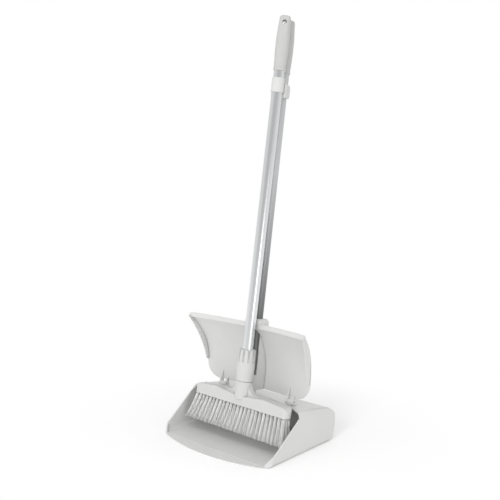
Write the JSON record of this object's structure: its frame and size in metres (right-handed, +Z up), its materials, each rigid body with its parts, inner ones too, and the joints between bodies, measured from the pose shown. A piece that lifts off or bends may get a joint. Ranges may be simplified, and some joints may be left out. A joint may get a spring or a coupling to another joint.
{
  "type": "lobby dustpan set",
  "caption": "Upright lobby dustpan: a hinged scoop with a covered rear box under a dished lid and long tube handle, with an upright broom clipped to the handle.",
  "frame": {"origin": "on the floor under the pan, where the axis of the handle meets the floor", "axes": "+Z up from the floor, -Y towards the front lip, +X to the right as seen from the front"},
  "size_m": [0.32, 0.2724, 0.8704],
  "materials": {
    "grey_moulding": "smooth moulded polypropylene",
    "pale_moulding": "smooth moulded polypropylene",
    "bristle": "bundled polyester filament",
    "tube_aluminium": "satin anodised",
    "pin_steel": "plain",
    "dark_moulding": "plain"
  },
  "bodies": {
    "handle": {"lid": "grey_moulding", "handle_tube": "tube_aluminium", "handle_tube_plug": "dark_moulding", "socket_screw": "pin_steel", "handle_grip": "pale_moulding", "hinge_pin_left": "pin_steel", "hinge_pin_right": "pin_steel"},
    "pan": {"pan_body": "grey_moulding"},
    "broom": {"broom_head": "grey_moulding", "front_bristles": "bristle", "middle_bristles": "bristle", "rear_bristles": "bristle", "thread_insert": "dark_moulding", "broom_tube": "tube_aluminium", "broom_clip": "pale_moulding", "broom_grip": "pale_moulding"},
    "collar": {"lock_collar": "grey_moulding"}
  },
  "joints": [
    {"name": "pan_close", "type": "hinge", "parent": "handle", "child": "pan", "pos_m": [0, 0.035, 0.09005], "axis": [-1, 0, 0], "range_deg": [0, 94]},
    {"name": "broom_lift", "type": "slide", "parent": "handle", "child": "broom", "axis": [0, -0.8192, 0.5736], "range_m": [0, 0.575]},
    {"name": "collar_turn", "type": "hinge", "parent": "broom", "child": "collar", "pos_m": [0.0062, -0.0301, 0], "axis": [0.0119, 0.1547, 0.9879], "range_deg": [0, 180]}
  ],
  "couplings": [
    {"joint": "broom_lift", "follows": "pan_close", "m_per_rad": 0.35}
  ]
}
